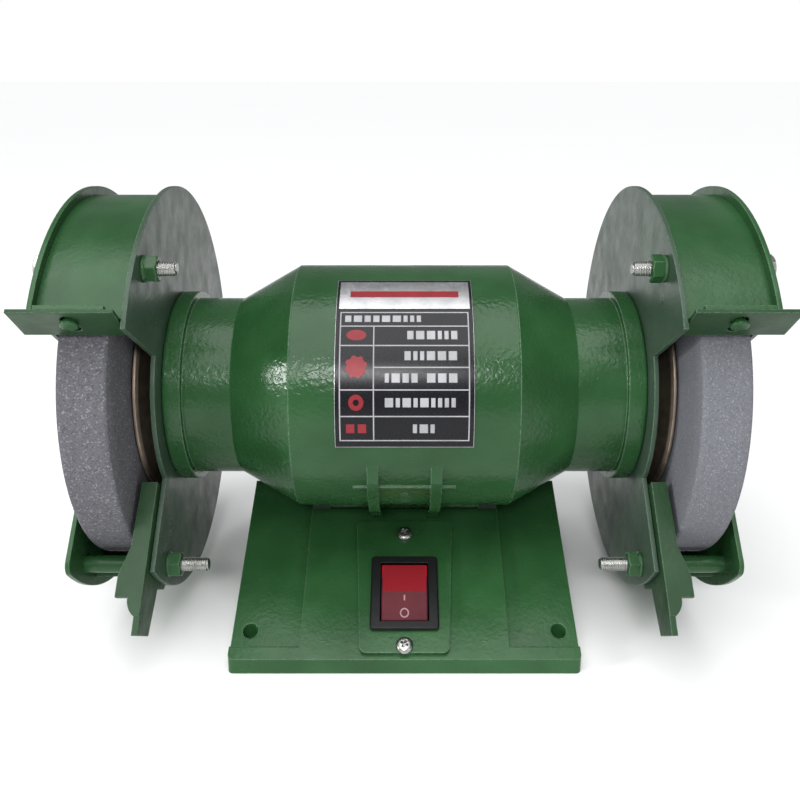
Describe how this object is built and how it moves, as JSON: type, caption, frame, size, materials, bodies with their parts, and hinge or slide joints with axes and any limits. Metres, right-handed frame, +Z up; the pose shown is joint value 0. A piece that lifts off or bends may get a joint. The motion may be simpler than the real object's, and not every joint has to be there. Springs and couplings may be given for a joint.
{
  "type": "bench grinder",
  "caption": "Double-ended bench grinder: round motor on a sloping cast base, a guarded grinding wheel at each end of the shaft, spark shields, rest brackets and a rocker switch.",
  "frame": {"origin": "centre of the base's underside, midway between the four mounting holes, on the bench top", "axes": "+X along the shaft to the right-hand wheel, -Y towards the person grinding, +Z up"},
  "size_m": [0.2468, 0.1532, 0.1606],
  "materials": {
    "green_enamel": "gloss",
    "dark_enamel": "satin",
    "zinc": "satin",
    "turned_steel": "satin",
    "bearing_steel": "polished",
    "laminated_steel": "satin",
    "copper_winding": "satin",
    "coarse_grit": "matte",
    "fine_grit": "matte",
    "blotter_paper": "matte",
    "black_plastic": "satin",
    "black_rubber": "matte",
    "red_plastic": "gloss",
    "plate_silver": "satin",
    "capacitor_shell": "satin",
    "terminal_plastic": "matte",
    "brass_terminal": "satin"
  },
  "bodies": {
    "frame": {"base_bottom_cover": "dark_enamel", "base_casting": "green_enamel", "base_cover_screws": "zinc", "bearing_outer_left": "bearing_steel", "bearing_outer_right": "bearing_steel", "capacitor": "capacitor_shell", "capacitor_clip": "zinc", "cord_grommet": "black_rubber", "end_bell_left": "green_enamel", "end_bell_right": "green_enamel", "end_bell_screws": "dark_enamel", "foot_bolts": "zinc", "guard_back_plate_left": "green_enamel", "guard_back_plate_right": "green_enamel", "guard_band_left": "green_enamel", "guard_band_right": "green_enamel", "guard_bolts_left": "zinc", "guard_bolts_right": "zinc", "guard_cover_left": "green_enamel", "guard_cover_right": "green_enamel", "guard_mount_screws_left": "zinc", "guard_mount_screws_right": "zinc", "guard_nuts_left": "zinc", "guard_nuts_right": "zinc", "guard_spacers_left": "green_enamel", "guard_spacers_right": "green_enamel", "motor_housing": "green_enamel", "rating_plate": "plate_silver", "spark_shield_screw_left": "green_enamel", "spark_shield_screw_right": "green_enamel", "stator_core": "laminated_steel", "stator_lock_screw": "green_enamel", "stator_windings": "copper_winding", "switch_housing": "black_plastic", "switch_plate": "green_enamel", "switch_plate_screws": "zinc", "switch_terminals": "brass_terminal", "terminal_block": "terminal_plastic", "wave_washers": "bearing_steel"},
    "rotor": {"shaft": "turned_steel", "rotor_core": "laminated_steel", "bearing_inner_left": "bearing_steel", "bearing_balls_left": "bearing_steel", "inner_flange_left": "turned_steel", "wheel_left": "coarse_grit", "blotters_left": "blotter_paper", "outer_flange_left": "turned_steel", "wheel_nut_left": "zinc", "bearing_inner_right": "bearing_steel", "bearing_balls_right": "bearing_steel", "inner_flange_right": "turned_steel", "wheel_right": "fine_grit", "blotters_right": "blotter_paper", "outer_flange_right": "turned_steel", "wheel_nut_right": "zinc"},
    "switch_rocker": {"switch_rocker": "red_plastic"},
    "spark_shield_left": {"spark_shield_left": "green_enamel"},
    "spark_shield_right": {"spark_shield_right": "green_enamel"},
    "tool_rest_left": {"tool_rest_left": "green_enamel"},
    "tool_rest_right": {"tool_rest_right": "green_enamel"}
  },
  "joints": [
    {"name": "rotor_spin", "type": "hinge", "parent": "frame", "child": "rotor", "pos_m": [0, 0, 0.086], "axis": [1, 0, 0], "continuous": true},
    {"name": "switch_press", "type": "hinge", "parent": "frame", "child": "switch_rocker", "pos_m": [0, -0.03539, 0.01453], "axis": [-1, 0, 0], "range_deg": [0, 16]},
    {"name": "spark_shield_slide_left", "type": "slide", "parent": "frame", "child": "spark_shield_left", "axis": [0, -0.7193, 0.6947], "range_m": [-0.0015, 0.004]},
    {"name": "tool_rest_slide_left", "type": "slide", "parent": "frame", "child": "tool_rest_left", "axis": [0, -0.7314, -0.682], "range_m": [-0.002, 0.006]},
    {"name": "spark_shield_slide_right", "type": "slide", "parent": "frame", "child": "spark_shield_right", "axis": [0, -0.7193, 0.6947], "range_m": [-0.0015, 0.004]},
    {"name": "tool_rest_slide_right", "type": "slide", "parent": "frame", "child": "tool_rest_right", "axis": [0, -0.7314, -0.682], "range_m": [-0.002, 0.006]}
  ]
}
